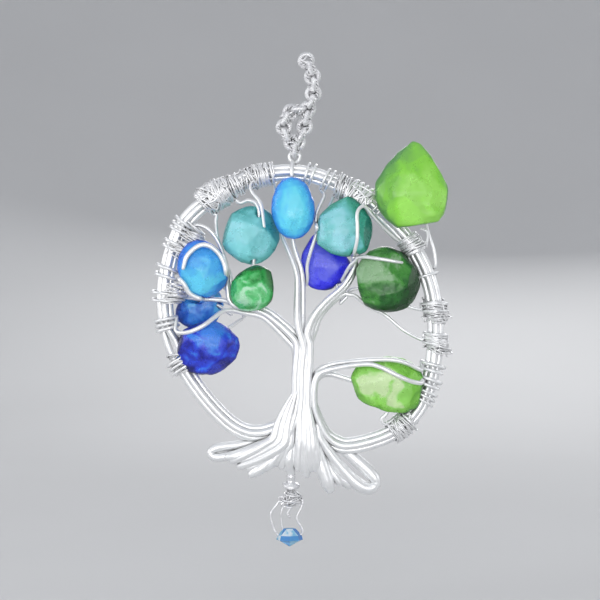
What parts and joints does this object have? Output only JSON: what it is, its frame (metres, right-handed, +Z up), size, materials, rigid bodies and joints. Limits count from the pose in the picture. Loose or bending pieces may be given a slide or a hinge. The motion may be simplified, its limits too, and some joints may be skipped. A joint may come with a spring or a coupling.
{
  "type": "hanging wire tree ornament",
  "caption": "Hanging ornament of twisted silver wire: a tree in a hoop with rough glass nuggets for leaves, on a chain, with a small crystal drop.",
  "frame": {"origin": "the inside top of the highest chain link, where the ornament hangs on its hook", "axes": "+Z up, +X to the right seen from the front, the front faces -Y"},
  "size_m": [0.1051, 0.021, 0.1736],
  "materials": {
    "silver_wire": "satin silver-coloured craft wire",
    "bright_chain": "bright small-link chain",
    "blue_crystal": "clear blue facetted crystal",
    "glass_azure": "translucent tumbled glass",
    "glass_aqua": "translucent tumbled glass",
    "glass_sky": "translucent tumbled glass",
    "glass_green": "translucent tumbled glass",
    "glass_mid_blue": "translucent tumbled glass",
    "glass_royal": "translucent tumbled glass",
    "glass_teal": "translucent tumbled glass",
    "glass_ultramarine": "translucent tumbled glass",
    "glass_lime_pear": "translucent tumbled glass",
    "glass_dark_green": "translucent tumbled glass",
    "glass_lime_drop": "translucent tumbled glass"
  },
  "bodies": {
    "tail_6": {"tail_link_6": "bright_chain"},
    "tail_5": {"tail_link_5": "bright_chain"},
    "tail_4": {"tail_link_4": "bright_chain"},
    "tail_3": {"tail_link_3": "bright_chain"},
    "tail_2": {"tail_link_2": "bright_chain"},
    "tail_1": {"tail_link_1": "bright_chain"},
    "loop": {"loop_link_at_eye": "bright_chain", "loop_link_left_1": "bright_chain", "loop_link_left_2": "bright_chain", "loop_link_left_3": "bright_chain", "loop_link_left_4": "bright_chain", "loop_link_left_5": "bright_chain", "loop_link_left_6": "bright_chain", "loop_link_right_1": "bright_chain", "loop_link_right_2": "bright_chain", "loop_link_right_3": "bright_chain", "loop_link_right_4": "bright_chain", "loop_link_top": "bright_chain"},
    "tree": {"hoop_wire_outer": "silver_wire", "hoop_wire_front": "silver_wire", "hoop_wire_inner": "silver_wire", "root_wire_left_hairpin": "silver_wire", "root_wire_front_left": "silver_wire", "root_wire_middle": "silver_wire", "root_wire_front_right": "silver_wire", "root_wire_right_hairpin": "silver_wire", "root_wire_back_right": "silver_wire", "root_pair_left": "silver_wire", "root_pair_middle": "silver_wire", "root_pair_right": "silver_wire", "tie_wire_upper_left": "silver_wire", "tie_wire_green_and_aqua": "silver_wire", "tie_wire_sky": "silver_wire", "tie_wire_mid_blue": "silver_wire", "tie_wire_royal": "silver_wire", "tie_wire_azure_side": "silver_wire", "tie_wire_ultramarine": "silver_wire", "tie_wire_lime_pear": "silver_wire", "tie_wire_dark_green_front": "silver_wire", "tie_wire_dark_green": "silver_wire", "tie_wire_lime_drop": "silver_wire", "hanger_eye": "silver_wire", "glass_azure": "glass_azure", "glass_aqua": "glass_aqua", "glass_sky": "glass_sky", "glass_green": "glass_green", "glass_mid_blue": "glass_mid_blue", "glass_royal": "glass_royal", "glass_teal": "glass_teal", "glass_ultramarine": "glass_ultramarine", "glass_lime_pear": "glass_lime_pear", "glass_dark_green": "glass_dark_green", "glass_lime_drop": "glass_lime_drop"},
    "drop_ring": {"drop_ring": "silver_wire"},
    "drop_stem": {"drop_stem": "silver_wire", "drop_bow": "silver_wire", "drop_nest": "silver_wire"},
    "drop_bail": {"drop_bail": "silver_wire", "drop_crystal": "blue_crystal"}
  },
  "joints": [
    {"name": "link_6_swing", "type": "hinge", "parent": "tail_6", "child": "tail_5", "pos_m": [0.00091, 0, -0.00349], "axis": [0.901, 0, 0.4338], "range_deg": [-30, 30]},
    {"name": "link_5_swing", "type": "hinge", "parent": "tail_5", "child": "tail_4", "pos_m": [0.00192, 0, -0.00631], "axis": [0, 1, 0], "range_deg": [-30, 30]},
    {"name": "link_4_swing", "type": "hinge", "parent": "tail_4", "child": "tail_3", "pos_m": [0.00248, 0, -0.00928], "axis": [0.9912, 0, 0.1322], "range_deg": [-30, 30]},
    {"name": "link_3_swing", "type": "hinge", "parent": "tail_3", "child": "tail_2", "pos_m": [0.00253, 0, -0.0123], "axis": [0, 1, 0], "range_deg": [-30, 30]},
    {"name": "link_2_swing", "type": "hinge", "parent": "tail_2", "child": "tail_1", "pos_m": [0.00201, 0, -0.01524], "axis": [0.9721, 0, -0.2346], "range_deg": [-30, 30]},
    {"name": "link_1_swing", "type": "hinge", "parent": "tail_1", "child": "loop", "pos_m": [0.00089, 0, -0.01799], "axis": [0, 1, 0], "range_deg": [-30, 30]},
    {"name": "tree_swing", "type": "hinge", "parent": "loop", "child": "tree", "pos_m": [-0.0041, 0, -0.03492], "axis": [0, 1, 0], "range_deg": [-25, 25]},
    {"name": "drop_ring_swing", "type": "hinge", "parent": "tree", "child": "drop_ring", "pos_m": [-0.0053, -0.00022, -0.14665], "axis": [1, 0, 0], "range_deg": [-20, 20]},
    {"name": "drop_stem_swing", "type": "hinge", "parent": "drop_ring", "child": "drop_stem", "pos_m": [-0.0053, 0, -0.14818], "axis": [0, 1, 0], "range_deg": [-20, 20]},
    {"name": "drop_bail_swing", "type": "hinge", "parent": "drop_stem", "child": "drop_bail", "pos_m": [-0.0053, 0, -0.1564], "axis": [0.9894, 0, -0.1455], "range_deg": [-12, 12]}
  ]
}
